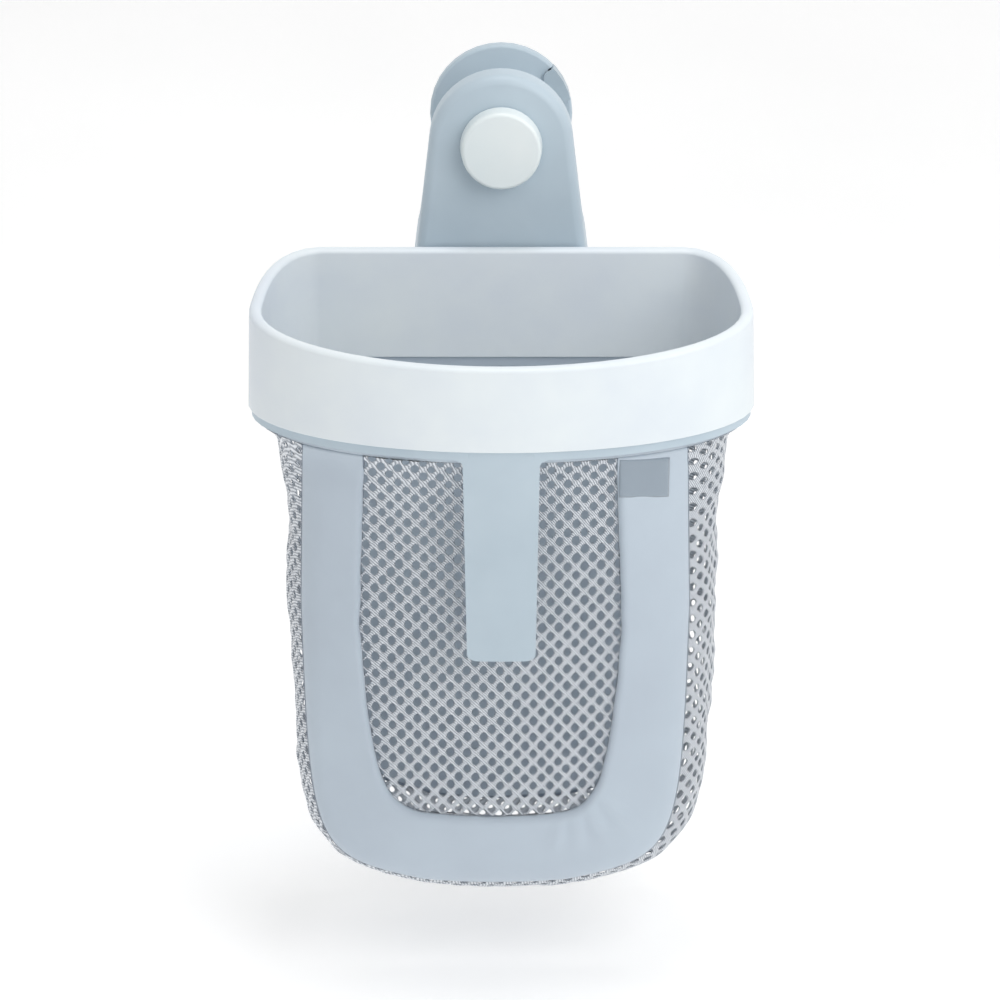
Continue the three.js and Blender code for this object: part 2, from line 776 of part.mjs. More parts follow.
function gussetRow(i, offset) {
  const front = frontSeam(i, 0);
  const back = backSeam(i, 0);
  const outward = frontSeam(i, tapeHalf).sub(front).normalize();
  const frontY = bagFront(front.x, front.y) + gussetEdge;
  const plan = topEnds[i < lastStop / 2 ? 0 : 1];
  const blend = Math.exp((front.y - bagTop) / gussetNeck);
  const fullness = 1 + gussetTopShare * Math.exp(-(((bagTop - front.y) / gussetTopReach) ** 4));
  return gussetShares.map((share) => {
    const flat = front.clone().lerp(back, share);
    const swell = 1 - Math.abs(2 * share - 1) ** 5;
    flat.addScaledVector(outward, gussetBulge * fullness * swell);
    flat.x += gussetSway * swell;
    const top = plan(share);
    const y = mix(frontY, backY - clothEdge, share);
    return new THREE.Vector3(
      mix(flat.x, top.x, blend) + outward.x * offset,
      mix(y, top.y, blend),
      flat.y + outward.y * offset,
    );
  });
}
const gusset = netPanel(
  seamIndex.map((i) => gussetRow(i, cloth / 2)),
  seamIndex.map((i) => gussetRow(i, -cloth / 2)),
);

// Blank side label at the border's upper right.
const labelWide = 22.5;
const labelHigh = 20;
const labelSlant = 2.9;
const labelOut = 2.2;
const labelBelow = 1;
const labelLeft = windowShift + windowHalf + clothEdge;
const labelTop = bagTop - labelBelow;
const label = clothPanel(
  grid(labelTop, labelTop - labelHigh, 3).map((z) =>
    grid(0, 1, 4).map((share) => new THREE.Vector2(labelLeft + labelWide * share, z - labelSlant * share)),
  ),
  (x, z) => bagFront(x, z) - labelOut,
);

// Materials in the photo's colours.
const material = (name, color, roughness, metalness = 0) =>
  new THREE.MeshStandardMaterial({ name, color, roughness, metalness });
const whitePlastic = material("white_plastic", 0xe6ebef, 0.42);
const greyPlastic = material("grey_plastic", 0xb4c2cb, 0.48);
const knobPlastic = material("knob_plastic", 0xe3ebec, 0.4);
const cupRubber = material("cup_rubber", 0xb7c3ca, 0.3);
const footRubber = material("foot_rubber", 0x8e989f, 0.7);
const borderFabric = material("border_fabric", 0xbcc6d1, 0.85);
const meshFabric = material("mesh_fabric", 0xbac0c7, 0.7);
const tapeFabric = material("tape_fabric", 0x98a2ad, 0.85);
const labelFabric = material("label_fabric", 0xa3a9b3, 0.8);

function part(name, solid, look) {
  const mesh = new THREE.Mesh(toGeometry(solid), look);
  mesh.name = name;
  return mesh;
}

// Assembly.
const organizer = new THREE.Group();
organizer.name = "bath_toy_organizer";
const mount = new THREE.Group();
mount.name = "wall_mount";
mount.add(
  part("suction_cup", cup, cupRubber),
  part("threaded_stud", stud, greyPlastic),
  part("pressure_dish", dish, greyPlastic),
  part("hanger_arm", arm, greyPlastic),
  part("clamp_washer", washer, greyPlastic),
  part("lock_knob", knob, knobPlastic),
);
for (const [name, side] of [["wall_bumper_left", -1], ["wall_bumper_right", 1]]) {
  const foot = part(name, bumper(side), footRubber);
  foot.position.set(side * bumperX, 0, bumperZ);
  foot.rotation.y = -side * armFlare;
  mount.add(foot);
}
const scoop = new THREE.Group();
scoop.name = "scoop";
scoop.position.set(0, -rimBackOut, -rimDropBelowKnob);
scoop.add(part("scoop_rim", rim, whitePlastic), part("handle_ring", ring, greyPlastic));
const bag = new THREE.Group();
bag.name = "bag";
bag.add(
  part("bag_top_hem", hem, borderFabric),
  part("bag_border", border, borderFabric),
  part("bag_window", meshWindow, meshFabric),
  part("bag_gusset", gusset, meshFabric),
  part("bag_back_panel", backPanel, borderFabric),
  part("window_seam_tape", windowTape, tapeFabric),
  part("front_seam_tape", frontTape, tapeFabric),
  part("back_seam_tape", backTape, tapeFabric),
  part("side_label", label, labelFabric),
);
scoop.add(bag);
organizer.add(mount, scoop);

export default organizer;
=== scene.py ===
import json
import math
import random

import bmesh
import bpy
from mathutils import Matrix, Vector, noise


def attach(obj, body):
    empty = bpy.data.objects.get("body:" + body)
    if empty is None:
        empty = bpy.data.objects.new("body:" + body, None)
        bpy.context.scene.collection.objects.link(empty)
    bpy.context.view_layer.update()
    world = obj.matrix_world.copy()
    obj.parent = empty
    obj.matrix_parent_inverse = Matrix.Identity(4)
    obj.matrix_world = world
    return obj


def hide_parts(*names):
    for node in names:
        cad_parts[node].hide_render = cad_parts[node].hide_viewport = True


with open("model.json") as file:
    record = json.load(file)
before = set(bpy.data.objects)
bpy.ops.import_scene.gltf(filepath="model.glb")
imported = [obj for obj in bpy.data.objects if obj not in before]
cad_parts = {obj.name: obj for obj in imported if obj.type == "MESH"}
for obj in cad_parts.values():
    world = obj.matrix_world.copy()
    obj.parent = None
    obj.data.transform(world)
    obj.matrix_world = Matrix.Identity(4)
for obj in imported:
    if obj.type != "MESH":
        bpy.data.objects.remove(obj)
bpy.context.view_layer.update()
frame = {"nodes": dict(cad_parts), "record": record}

# Driving sizes in metres, the same as in the part's source.
RIM_WIDTH = 0.230
RIM_DEPTH = 0.130
RIM_BACK_OUT = 0.058
RIM_DROP = 0.1005
FRONT_REACH = RIM_DEPTH * 0.492
WIDEST_Y = FRONT_REACH - RIM_DEPTH
BACK_REACH = -WIDEST_Y
HEM_MID = 0.0049
BAG_TOP = -0.0068
BAG_DROP = 0.226
BAG_BOTTOM = BAG_TOP - BAG_DROP
SEAM_INSET = 0.0288
BORDER_WIDE = 0.0298
SEAM_HALF = RIM_WIDTH / 2 - SEAM_INSET
SEAM_SHIFT = -RIM_WIDTH * 0.0122
WINDOW_HALF = SEAM_HALF - BORDER_WIDE
WINDOW_DROP = 0.186
WINDOW_SHIFT = -RIM_WIDTH * 0.0213
NECK_DROP = 0.018
SEAM_SET_BACK = RIM_DEPTH * 0.085
SEAM_LEAN = RIM_DEPTH * 0.04
BOTTOM_TUCK = BAG_DROP * 0.16
GUSSET_BULGE = RIM_WIDTH * 0.045
GUSSET_TOP_SHARE = 0.55
GUSSET_TOP_REACH = BAG_DROP * 0.17
GUSSET_SWAY = RIM_WIDTH * 0.0113
GUSSET_NECK = 0.003
BACK_Y = -HEM_MID
SCOOP_PLACE = Vector((0, -RIM_BACK_OUT, -RIM_DROP))

# The cloth's and the net's thickness as drawn here.
CLOTH = 0.0009
NET = 0.0010

# Net cells: a staggered lattice of oval holes.
CELL_WIDE = 0.0076
CELL_HIGH = 0.0086
HOLE_HALF_WIDE = 0.0017
HOLE_HALF_HIGH = 0.0023
GUSSET_HOLE_SHARE = 0.86
HOLE_TILT = 0.25

# Each seam's curve points, as shares of its half width and its drop; the same as in the part.
FRONT_SHARES = [(1.027, 0.365), (1, 0.93), (0.995, 0.925), (0.394, 0.991), (0.23, 1)]
WINDOW_SHARES = [(1.065, 0.473), (0.964, 0.965), (0.858, 0.985), (0.424, 0.995), (0.2, 1)]
BACK_HALF_SHARE = 0.965
BACK_DROP_SHARE = 0.98
SEAM_SAMPLES = 240
CURVE_STEPS = 60
DIRECTION_SAMPLES = 1.5

ACROSS = SEAM_HALF / (RIM_WIDTH / 2 - HEM_MID)
FLAT_SHARE = math.sqrt(1 - ACROSS**2)
SEAM_TOP_Y = WIDEST_Y - (FRONT_REACH - HEM_MID) * FLAT_SHARE
BULGE = (FRONT_REACH - HEM_MID) * (1 - FLAT_SHARE)


def mix(a, b, share):
    return a + (b - a) * share


def smooth(value):
    value = min(max(value, 0.0), 1.0)
    return value * value * (3 - 2 * value)


# Camera at the photograph's viewing angle, on the image's upright middle line.
CAMERA_ELEVATION = math.radians(22.06)
CAMERA_DISTANCE = 2.0
CAMERA_TARGET = Vector((-0.00057, -0.120, -0.1501))
CAMERA_LENS = 156.7
CAMERA_SENSOR = 36.0


def make_camera():
    data = bpy.data.cameras.new("camera")
    data.lens = CAMERA_LENS
    data.sensor_width = CAMERA_SENSOR
    data.clip_start, data.clip_end = 0.05, 50
    camera = bpy.data.objects.new("camera", data)
    bpy.context.scene.collection.objects.link(camera)
    back = Vector((0, -math.cos(CAMERA_ELEVATION), math.sin(CAMERA_ELEVATION)))
    camera.location = CAMERA_TARGET + back * CAMERA_DISTANCE
    camera.rotation_mode = "QUATERNION"
    camera.rotation_quaternion = (-back).to_track_quat("-Z", "Y")
    bpy.context.scene.camera = camera


# Material helpers. Colours are given as sRGB hex and turned to linear.
def linear(code):
    parts = [int(code[i : i + 2], 16) / 255 for i in (0, 2, 4)]
    return tuple(p / 12.92 if p <= 0.04045 else ((p + 0.055) / 1.055) ** 2.4 for p in parts) + (1,)


class Look:
    """A procedural material: a Principled shader with colour, roughness and bump from textures."""

    def __init__(self, name, roughness, **sockets):
        self.material = bpy.data.materials.new(name)
        self.material.use_nodes = True
        self.nodes = self.material.node_tree.nodes
        self.links = self.material.node_tree.links
        self.shader = self.nodes["Principled BSDF"]
        self.shader.inputs["Roughness"].default_value = roughness
        for label, value in sockets.items():
            self.shader.inputs[label.replace("_", " ")].default_value = value
        self.coords = self.nodes.new("ShaderNodeTexCoord").outputs["Object"]
        self.height = None

    def link(self, source, target):
        self.links.new(source, target)

    def noise(self, scale, detail=3.0, roughness=0.5, stretch=(1, 1, 1)):
        moved = self.nodes.new("ShaderNodeMapping")
        moved.inputs["Scale"].default_value = stretch
        self.link(self.coords, moved.inputs["Vector"])
        texture = self.nodes.new("ShaderNodeTexNoise")
        texture.inputs["Scale"].default_value = scale
        texture.inputs["Detail"].default_value = detail
        texture.inputs["Roughness"].default_value = roughness
        self.link(moved.outputs["Vector"], texture.inputs["Vector"])
        return texture.outputs["Fac"]

    def bands(self, scale, direction, distortion):
        texture = self.nodes.new("ShaderNodeTexWave")
        texture.wave_type = "BANDS"
        texture.bands_direction = direction
        texture.inputs["Scale"].default_value = scale
        texture.inputs["Distortion"].default_value = distortion
        texture.inputs["Detail Scale"].default_value = 1.0
        self.link(self.coords, texture.inputs["Vector"])
        return texture.outputs["Fac"]

    def math(self, kind, a, b):
        node = self.nodes.new("ShaderNodeMath")
        node.operation = kind
        for socket, value in zip(node.inputs, (a, b)):
            if isinstance(value, (int, float)):
                socket.default_value = value
            else:
                self.link(value, socket)
        return node.outputs[0]

    def colour(self, fac, dark, light, low=0.3, high=0.7):
        ramp = self.nodes.new("ShaderNodeValToRGB")
        ramp.color_ramp.elements[0].position = low
        ramp.color_ramp.elements[0].color = linear(dark)
        ramp.color_ramp.elements[1].position = high
        ramp.color_ramp.elements[1].color = linear(light)
        self.link(fac, ramp.inputs["Fac"])
        self.link(ramp.outputs["Color"], self.shader.inputs["Base Color"])

    def rough(self, fac, low, high):
        node = self.nodes.new("ShaderNodeMapRange")
        node.inputs["To Min"].default_value = low
        node.inputs["To Max"].default_value = high
        self.link(fac, node.inputs["Value"])
        self.link(node.outputs["Result"], self.shader.inputs["Roughness"])

    def bump(self, fac, distance, strength):
        node = self.nodes.new("ShaderNodeBump")
        node.inputs["Distance"].default_value = distance
        node.inputs["Strength"].default_value = strength
        self.link(fac, node.inputs["Height"])
        if self.height is not None:
            self.link(self.height, node.inputs["Normal"])
        self.height = node.outputs["Normal"]
        self.link(self.height, self.shader.inputs["Normal"])


def plastic(name, dark, light, low, high):
    """Satin moulded plastic: flow marks, smudges, a fine spark texture and slight waves."""
    look = Look(name, low, Subsurface_Weight=0.06, Subsurface_Radius=(0.004, 0.004, 0.004))
    look.colour(look.noise(14, 4, 0.55), dark, light)
    look.rough(look.noise(60, 4, 0.6), low, high)
    look.bump(look.noise(2600, 2, 0.5), distance=0.00002, strength=0.5)
    look.bump(look.noise(90, 2, 0.4), distance=0.00005, strength=0.25)
    return look.material


def rubber(name, dark, light, low, high):
    """Soft opaque rubber with a faint grain."""
    look = Look(name, low, IOR=1.45)
    look.colour(look.noise(40, 3), dark, light)
    look.rough(look.noise(120, 3), low, high)
    look.bump(look.noise(1500, 2), distance=0.00003, strength=0.5)
    return look.material


def band_scale(pitch):
    """The wave texture's scale for bands this far apart, in metres, along one axis."""
    return math.pi / (10 * pitch)


def woven(name, dark, light, pitch, relief, sheen, low=0.78, high=0.95):
    """Fine plain weave: warp and weft ridges, slubs and uneven dyeing."""
    look = Look(name, high, Sheen_Weight=sheen, Sheen_Roughness=0.45)
    warp = look.bands(band_scale(pitch), "X", 0.4)
    weft = look.bands(band_scale(pitch), "Z", 0.4)
    weave = look.math("MAXIMUM", warp, weft)
    slub = look.noise(900, 3, 0.6, (1, 1, 0.25))
    patch = look.noise(16, 4, 0.55)
    tone = look.math("ADD", look.math("MULTIPLY", weave, 0.2), look.math("MULTIPLY", patch, 0.8))
    look.colour(tone, dark, light, 0.25, 0.85)
    look.rough(slub, low, high)
    look.bump(weave, relief, 0.7)
    look.bump(slub, relief * 0.4, 0.4)
    return look.material


LOOP_PITCH = 0.0007


def knitted(name, dark, light):
    """Knitted filament net: fine loops along each strand, glossy from its coat, with painted
    glints where its colour runs up to near white.
    """
    look = Look(
        name, 0.4, Sheen_Weight=0.3, Sheen_Roughness=0.3, Coat_Weight=0.5, Coat_Roughness=0.22
    )
    loops = look.bands(band_scale(LOOP_PITCH), "DIAGONAL", 2.5)
    strand = look.noise(900, 3, 0.65)
    # Colour from the loop bands and strand noise: partly the filament's own uneven tone, and its
    # near-white peaks are painted glints.
    look.colour(look.math("MULTIPLY", look.math("ADD", loops, strand), 0.5), dark, light, 0.2, 0.7)
    look.rough(strand, 0.3, 0.55)
    look.bump(loops, distance=0.00025, strength=0.9)
    look.bump(strand, distance=0.00022, strength=0.8)
    return look.material


# Each slot's kind, its darker and lighter tone, and for plastic and rubber the least and greatest
# roughness, for a weave its pitch, relief and sheen, and the border's own roughness.
LOOKS = {
    "white_plastic": (plastic, "dde5ed", "eaf1f3", 0.34, 0.46),
    "grey_plastic": (plastic, "b3c3ce", "c0cfd9", 0.40, 0.52),
    "knob_plastic": (plastic, "e0eaec", "edf3f3", 0.32, 0.42),
    "cup_rubber": (rubber, "a5b4be", "b5c4ce", 0.3, 0.45),
    "foot_rubber": (rubber, "858f96", "949ea5", 0.6, 0.75),
    "border_fabric": (woven, "b4bfcb", "c1ced9", 0.0003, 0.00003, 0.3, 0.6, 0.8),
    # The net's lighter tone is near white for its painted glints.
    "mesh_fabric": (knitted, "828b96", "e8edf3"),
    "tape_fabric": (woven, "6e7987", "8b96a3", 0.0004, 0.00008, 0.2),
    "label_fabric": (woven, "8995a1", "9da9b4", 0.00025, 0.00003, 0.3),
}


# Bag shapes. They are worked out in the scoop's own frame, as in the part's source.
def bezier(a, b, c, d, t):
    u = 1 - t
    return a * u**3 + b * 3 * u * u * t + c * 3 * u * t * t + d * t**3


def quadratic(a, b, c, t):
    u = 1 - t
    return a * u * u + b * 2 * u * t + c * t * t


def evenly(points, count):
    """The same line with count + 1 points at even spacing."""
    lengths = [0.0]
    for a, b in zip(points, points[1:]):
        lengths.append(lengths[-1] + (b - a).length)
    out, k = [], 0
    for i in range(count + 1):
        want = lengths[-1] * i / count
        while k < len(points) - 2 and lengths[k + 1] < want:
            k += 1
        span = lengths[k + 1] - lengths[k]
        out.append(points[k].lerp(points[k + 1], (want - lengths[k]) / span if span else 0))
    return out


class Seam:
    """A U-shaped seam seen from the front, from its left end round the bottom to its right end."""

    def __init__(self, half, drop, shift, shares):
        def spot(share):
            return Vector((shift - half * share[0], BAG_TOP - drop * share[1]))

        fine = [i / CURVE_STEPS for i in range(1, CURVE_STEPS + 1)]
        left = [spot((1, 0)).lerp(spot(shares[0]), t) for t in [0] + fine]
        left += [bezier(*(spot(share) for share in shares[:4]), t) for t in fine]
        left += [quadratic(spot(shares[3]), spot(shares[4]), spot((0, 1)), t) for t in fine]
        right = [Vector((2 * shift - p.x, p.y)) for p in reversed(left[:-1])]
        self.points = evenly(left + right, SEAM_SAMPLES)
        self.length = sum((b - a).length for a, b in zip(self.points, self.points[1:]))

    def at(self, share):
        place = min(max(share, 0.0), 1.0) * SEAM_SAMPLES
        i = min(int(place), SEAM_SAMPLES - 1)
        return self.points[i].lerp(self.points[i + 1], place - i)

    def outward(self, share):
        step = DIRECTION_SAMPLES / SEAM_SAMPLES
        along = (self.at(share + step) - self.at(share - step)).normalized()
        return Vector((along.y, -along.x))

    def offset(self, share, distance):
        return self.at(share) + self.outward(share) * distance


FRONT_SEAM = Seam(SEAM_HALF, BAG_DROP, SEAM_SHIFT, FRONT_SHARES)
WINDOW_SEAM = Seam(WINDOW_HALF, WINDOW_DROP, WINDOW_SHIFT, WINDOW_SHARES)
BACK_SEAM = Seam(SEAM_HALF * BACK_HALF_SHARE, BAG_DROP * BACK_DROP_SHARE, 0, FRONT_SHARES)


ARCH_LOST_BELOW_NECK = 0.2


def front_y(x, z):
    """Where the bag's front surface lies: arched under the ring, flatter lower down."""
    neck = 1 - math.exp((z - BAG_TOP) / NECK_DROP)
    down = (BAG_TOP - z) / BAG_DROP
    tuck = max(1 - math.exp((BAG_BOTTOM - z) / BOTTOM_TUCK), 0)
    share = ACROSS * x / SEAM_HALF
    arch = (math.sqrt(1 - share * share) - FLAT_SHARE) / (1 - FLAT_SHARE)
    seam_y = SEAM_TOP_Y + SEAM_SET_BACK * neck + SEAM_LEAN * down
    return seam_y - BULGE * arch * (1 - ARCH_LOST_BELOW_NECK * neck) * tuck


# The rim's back corner, as shares of its half width and of its reach behind the widest line.
CORNER_FLAT, CORNER_TURN, CORNER_SIDE, CORNER_DEEP = 0.714, 0.914, 0.982, 0.424
RIM_STEPS = 80
OUTLINE_POINTS = 960


def rim_outline():
    """The rim seen from above, from the back's middle round its left side and its front."""
    fine = [i / RIM_STEPS for i in range(1, RIM_STEPS + 1)]
    half = RIM_WIDTH / 2
    corner = [
        Vector((-half * CORNER_FLAT, 0)),
        Vector((-half * CORNER_TURN, 0)),
        Vector((-half * CORNER_SIDE, -BACK_REACH * CORNER_DEEP)),
        Vector((-half, WIDEST_Y)),
    ]
    left = [Vector((0, 0)).lerp(corner[0], t) for t in [0] + fine]
    left += [bezier(*corner, t) for t in fine]
    for t in fine:
        angle = math.pi + math.pi / 2 * t
        left.append(Vector((half * math.cos(angle), WIDEST_Y + FRONT_REACH * math.sin(angle))))
    right = [Vector((-p.x, p.y)) for p in reversed(left[:-1])]
    return evenly(left + right, OUTLINE_POINTS)


OUTLINE = rim_outline()[:-1]


def rim_point(i, inset):
    """The outline's point i, moved inwards."""
    count = len(OUTLINE)
    along = (OUTLINE[(i + 1) % count] - OUTLINE[(i - 1) % count]).normalized()
    return OUTLINE[i % count] + Vector((-along.y, along.x)) * inset


PLAN = [rim_point(i, HEM_MID) for i in range(len(OUTLINE))]


class Plan:
    """The line under the rim that the gusset's top edge follows on one side."""

    def __init__(self, side):
        front = FRONT_SEAM.at(0 if side < 0 else 1)
        back = BACK_SEAM.at(0 if side < 0 else 1)
        self.front = Vector((front.x, front_y(front.x, BAG_TOP)))
        self.back = Vector((back.x, BACK_Y))
        self.start, self.end = self.nearest(self.front), self.nearest(self.back)
        if side > 0 and self.start > self.end:
            self.start -= len(PLAN)

    def nearest(self, spot):
        return min(range(len(PLAN)), key=lambda i: (PLAN[i] - spot).length)

    def at(self, share):
        place = mix(self.start, self.end, share)
        i = math.floor(place)
        spot = PLAN[i % len(PLAN)].lerp(PLAN[(i + 1) % len(PLAN)], place - i)
        spot = spot + (self.front - PLAN[self.start % len(PLAN)]) * (1 - share)
        return spot + (self.back - PLAN[self.end % len(PLAN)]) * share


PLANS = {-1: Plan(-1), 1: Plan(1)}


SWELL_POWER = 5
TOP_POWER = 4


def gusset_point(s, v):
    """The gusset's middle surface: s runs along the seams and v from the front to the back."""
    front, back = FRONT_SEAM.at(s), BACK_SEAM.at(s)
    outward = FRONT_SEAM.outward(s)
    swell = 1 - abs(2 * v - 1) ** SWELL_POWER
    below_top = (BAG_TOP - front.y) / GUSSET_TOP_REACH
    fullness = 1 + GUSSET_TOP_SHARE * math.exp(-(below_top**TOP_POWER))
    flat = front.lerp(back, v) + outward * GUSSET_BULGE * fullness * swell
    flat.x += GUSSET_SWAY * swell
    y = mix(front_y(front.x, front.y), BACK_Y, v)
    plan = PLANS[-1 if s < 0.5 else 1].at(v)
    blend = math.exp((front.y - BAG_TOP) / GUSSET_NECK)
    return Vector((mix(flat.x, plan.x, blend), mix(y, plan.y, blend), flat.y))


# Mesh helpers.
def new_object(name, vertices, faces, material):
    """A smooth-shaded object from points in the scoop's own frame."""
    mesh = bpy.data.meshes.new(name)
    mesh.from_pydata([SCOOP_PLACE + Vector(v) for v in vertices], [], faces)
    mesh.validate()
    mesh.update()
    mesh.polygons.foreach_set("use_smooth", [True] * len(mesh.polygons))
    obj = bpy.data.objects.new(name, mesh)
    bpy.context.scene.collection.objects.link(obj)
    mesh.materials.append(material)
    return obj


def outward_faces(obj):
    work = bmesh.new()
    work.from_mesh(obj.data)
    bmesh.ops.recalc_face_normals(work, faces=work.faces)
    work.to_mesh(obj.data)
    work.free()


def strip_faces(rows, columns, closed=False):
    """The faces between rows of points; closed joins the last row to the first."""
    faces = []
    for i in range(rows if closed else rows - 1):
        for j in range(columns - 1):
            a, b = i * columns + j, ((i + 1) % rows) * columns + j
            faces.append((a, a + 1, b + 1, b))
    return faces


def thicken(obj, thickness):
    solid = obj.modifiers.new("thickness", "SOLIDIFY")
    solid.thickness = thickness
    solid.offset = 0


def cloth_sheet(name, rows, thickness, material):
    """A cloth panel from rows of points, thickened evenly on both sides."""
    faces = strip_faces(len(rows), len(rows[0]))
    obj = new_object(name, [p for row in rows for p in row], faces, material)
    outward_faces(obj)
    thicken(obj, thickness)
    return obj


# Folds that fan out below the window's lower right corner.
FOLD_CENTRE = Vector((WINDOW_SHIFT + WINDOW_HALF * 0.62, BAG_TOP - WINDOW_DROP * 0.86))
FOLD_DEGREES = (-47, -65, -82, -97)
FOLD_WIDE_DEGREES = 5.0
FOLD_NEAR, FOLD_FAR = 0.020, 0.052
FOLD_RISE, FOLD_FALL = 0.006, 0.02
FOLD_DEEP = 0.0020
BORDER_WAVE = 0.0009


def wander(x, y, seed):
    """Smooth noise between -1 and 1; the seed picks the pattern."""
    return noise.noise(Vector((x, y, seed)))


def crease(x, z):
    """A slight wave over the whole border and the pulled folds at the window's corner."""
    wave = wander(x * 26, z * 14, 0.7) * BORDER_WAVE
    away = Vector((x, z)) - FOLD_CENTRE
    angle = math.degrees(math.atan2(away.y, away.x))
    fade = smooth((away.length - FOLD_NEAR) / FOLD_RISE)
    fade *= smooth((FOLD_FAR - away.length) / FOLD_FALL)
    fan = sum(math.exp(-(((angle - at) / FOLD_WIDE_DEGREES) ** 2)) for at in FOLD_DEGREES)
    return wave - FOLD_DEEP * fade * fan


# Bag panels.
BORDER_PUFF = 0.0042
BORDER_ROLL = 0.011
BORDER_FULL_DROP = 0.024
BORDER_LIP = 0.0007
BORDER_WANDER = 0.0005
BORDER_STEPS, BORDER_COLUMNS = 320, 26
BORDER_OUT, BORDER_IN = 0.0003, 0.0001
LIP_ROLL = 0.003


def roll(distance, radius):
    """A quarter circle's height, from 0 at an edge to 1 at the radius and beyond."""
    share = min(max(distance / radius, 0), 1)
    return math.sqrt(1 - (1 - share) ** 2)


def border_puff(z):
    """How far the border stands proud of its seams: it starts flat under the ring."""
    return BORDER_PUFF * smooth((BAG_TOP - z) / BORDER_FULL_DROP)


def border_rows():
    """The border rolls back to its outer seam and has a thin folded lip along the window."""
    rows = []
    for i in range(BORDER_STEPS + 1):
        s = i / BORDER_STEPS
        outer = FRONT_SEAM.offset(s, -BORDER_OUT)
        inner = WINDOW_SEAM.offset(s, BORDER_IN + BORDER_WANDER * wander(s * 34, 0.3, 4.0))
        wide = (outer - inner).length
        row = []
        for j in range(BORDER_COLUMNS + 1):
            v = (1 - math.cos(math.pi * j / BORDER_COLUMNS)) / 2
            spot = outer.lerp(inner, v)
            puff = border_puff(spot.y) * roll(wide * v, BORDER_ROLL)
            puff = mix(min(puff, BORDER_LIP), puff, roll(wide * (1 - v), LIP_ROLL))
            edge = math.sin(math.pi * v)
            y = front_y(spot.x, spot.y) - puff + crease(spot.x, spot.y) * edge
            row.append((spot.x, y, spot.y))
        rows.append(row)
    return rows


# A cell's outline is counted in whole sixths of a half cell, so that neighbours share its points.
SIXTHS = 6
SIDE_PARTS = 3
HOLE_STRAY = 0.00015
HOLE_GROWTH = (0.9, 1.08)
SHOULDER_OUT = 0.35
SHOULDER_LIFT = NET * 0.4


def diamond():
    """A cell's outline on the lattice: its four corners and the points between them."""
    corners = [(SIXTHS, 0), (0, SIXTHS), (-SIXTHS, 0), (0, -SIXTHS)]
    ring = []
    for k, (a, b) in enumerate(corners):
        c, d = corners[(k + 1) % len(corners)]
        for t in range(SIDE_PARTS):
            ring.append((a + (c - a) * t // SIDE_PARTS, b + (d - b) * t // SIDE_PARTS))
    return ring


def net(name, width, height, inside, place, material, hole_share=1.0):
    """A net of staggered oval holes: cells of the flat (u, v) lattice, placed by a function."""
    half_u, half_v = CELL_WIDE / 2, CELL_HIGH / 2
    vertices, faces, shared = [], [], {}
    random.seed(name)

    def add(u, v, lift):
        vertices.append(place(u, v, lift))
        return len(vertices) - 1

    def corner(a, b, lift):
        key = (a, b, lift > 0)
        if key not in shared:
            shared[key] = add(half_u * a / SIXTHS, half_v * b / SIXTHS, lift)
        return shared[key]

    columns, rows = math.ceil(width / half_u) + 1, math.ceil(height / half_v) + 1
    ring = diamond()
    for i in range(-1, columns + 1):
        for j in range(-1, rows + 1):
            centre = Vector((i * half_u, j * half_v))
            if (i + j) % 2 or not inside(*centre):
                continue
            middle = centre + Vector([random.uniform(-HOLE_STRAY, HOLE_STRAY) for _ in range(2)])
            grow = hole_share * random.uniform(*HOLE_GROWTH)
            tilt = random.uniform(-HOLE_TILT, 0)
            hole, shoulder, front, back = [], [], [], []
            for a, b in ring:
                angle = math.atan2(b, a)
                across = HOLE_HALF_WIDE * grow * math.cos(angle)
                along = HOLE_HALF_HIGH * grow * math.sin(angle)
                rim = middle + Vector((across - along * tilt, along + across * tilt))
                edge = centre + Vector((half_u * a / SIXTHS, half_v * b / SIXTHS))
                hole.append(add(*rim, 0))
                shoulder.append(add(*rim.lerp(edge, SHOULDER_OUT), SHOULDER_LIFT))
                front.append(corner(SIXTHS * i + a, SIXTHS * j + b, NET / 2))
                back.append(corner(SIXTHS * i + a, SIXTHS * j + b, -NET / 2))
            for k in range(len(ring)):
                n = (k + 1) % len(ring)
                faces.append((front[k], front[n], shoulder[n], shoulder[k]))
                faces.append((shoulder[k], shoulder[n], hole[n], hole[k]))
                faces.append((back[n], back[k], hole[k], hole[n]))
    return new_object(name, vertices, faces, material)


WINDOW_OVERLAP = 0.0012
WINDOW_LEAST_HALF = 0.004
WINDOW_SWAY, WINDOW_SWAY_FADE = 0.0012, 0.02


def window_net(material):
    """The window's net, cut along its seam."""
    left = WINDOW_SHIFT - WINDOW_HALF
    low = BAG_TOP - WINDOW_DROP
    half_line = [WINDOW_SEAM.at(i / SEAM_SAMPLES) for i in range(SEAM_SAMPLES // 2 + 1)]

    def half_at(z):
        if z <= half_line[-1].y:
            return 0.0
        for a, b in zip(half_line, half_line[1:]):
            if b.y <= z <= a.y:
                share = (a.y - z) / (a.y - b.y) if a.y > b.y else 0
                return WINDOW_SHIFT - mix(a.x, b.x, share)
        return WINDOW_HALF

    def inside(u, v):
        half = half_at(min(low + v, BAG_TOP)) + WINDOW_OVERLAP
        return low < low + v < BAG_TOP + CELL_HIGH / 2 and abs(left + u - WINDOW_SHIFT) < half

    def place(u, v, lift):
        z = min(max(low + v, low), BAG_TOP)
        half = max(half_at(z), WINDOW_LEAST_HALF)
        x = min(max(left + u, WINDOW_SHIFT - half), WINDOW_SHIFT + half)
        edge = smooth((half - abs(x - WINDOW_SHIFT)) / WINDOW_SWAY_FADE)
        sway = wander(x * 30, z * 22, 5.0) * WINDOW_SWAY * edge
        return Vector((x, front_y(x, z) - lift + sway, z))

    return net("window_net", 2 * WINDOW_HALF, WINDOW_DROP, inside, place, material)


